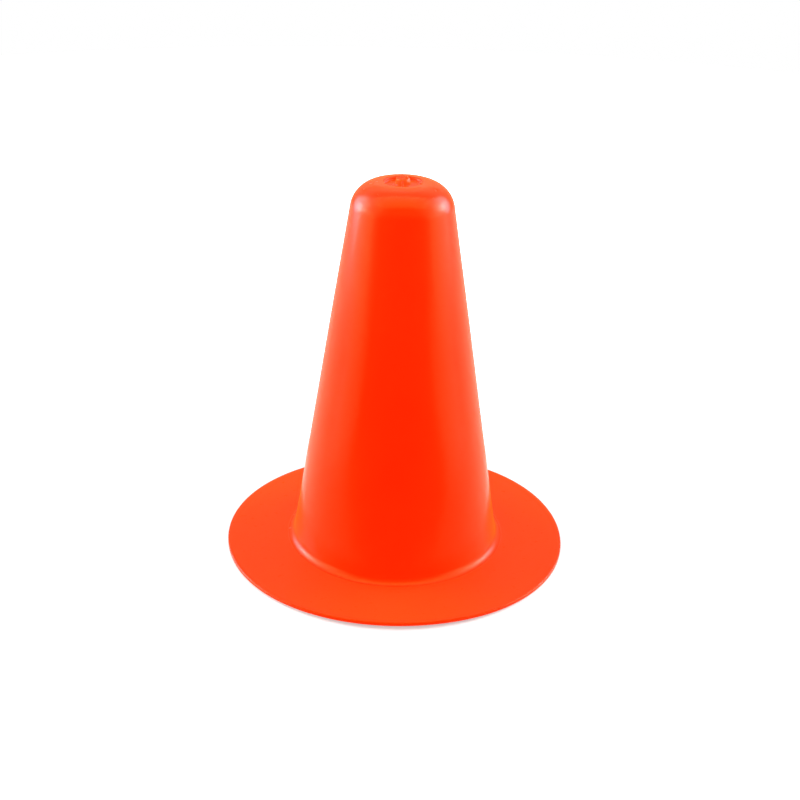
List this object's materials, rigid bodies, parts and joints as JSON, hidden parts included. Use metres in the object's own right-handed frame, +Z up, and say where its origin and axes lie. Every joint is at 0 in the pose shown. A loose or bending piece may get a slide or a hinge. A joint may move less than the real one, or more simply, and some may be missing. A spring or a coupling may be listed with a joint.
{
  "type": "sports marker cone",
  "caption": "Hollow tapered marker cone with a rounded, recessed top and a wide flat round brim, moulded in orange plastic, for marking lines and courses.",
  "frame": {"origin": "on the ground, at the cone's axis, so the underside of the brim is at z = 0", "axes": "+Z up along the cone's axis; the web of the gate stub on the crown points to -Y, and the stub's tip to +X"},
  "size_m": [0.2073, 0.2072, 0.2318],
  "materials": {
    "orange_plastic": "semi-gloss moulded polyethylene, vivid orange-red all through"
  },
  "bodies": {
    "root": {"base_brim": "orange_plastic", "cone_wall": "orange_plastic", "crown": "orange_plastic", "gate_stub": "orange_plastic"}
  },
  "joints": []
}
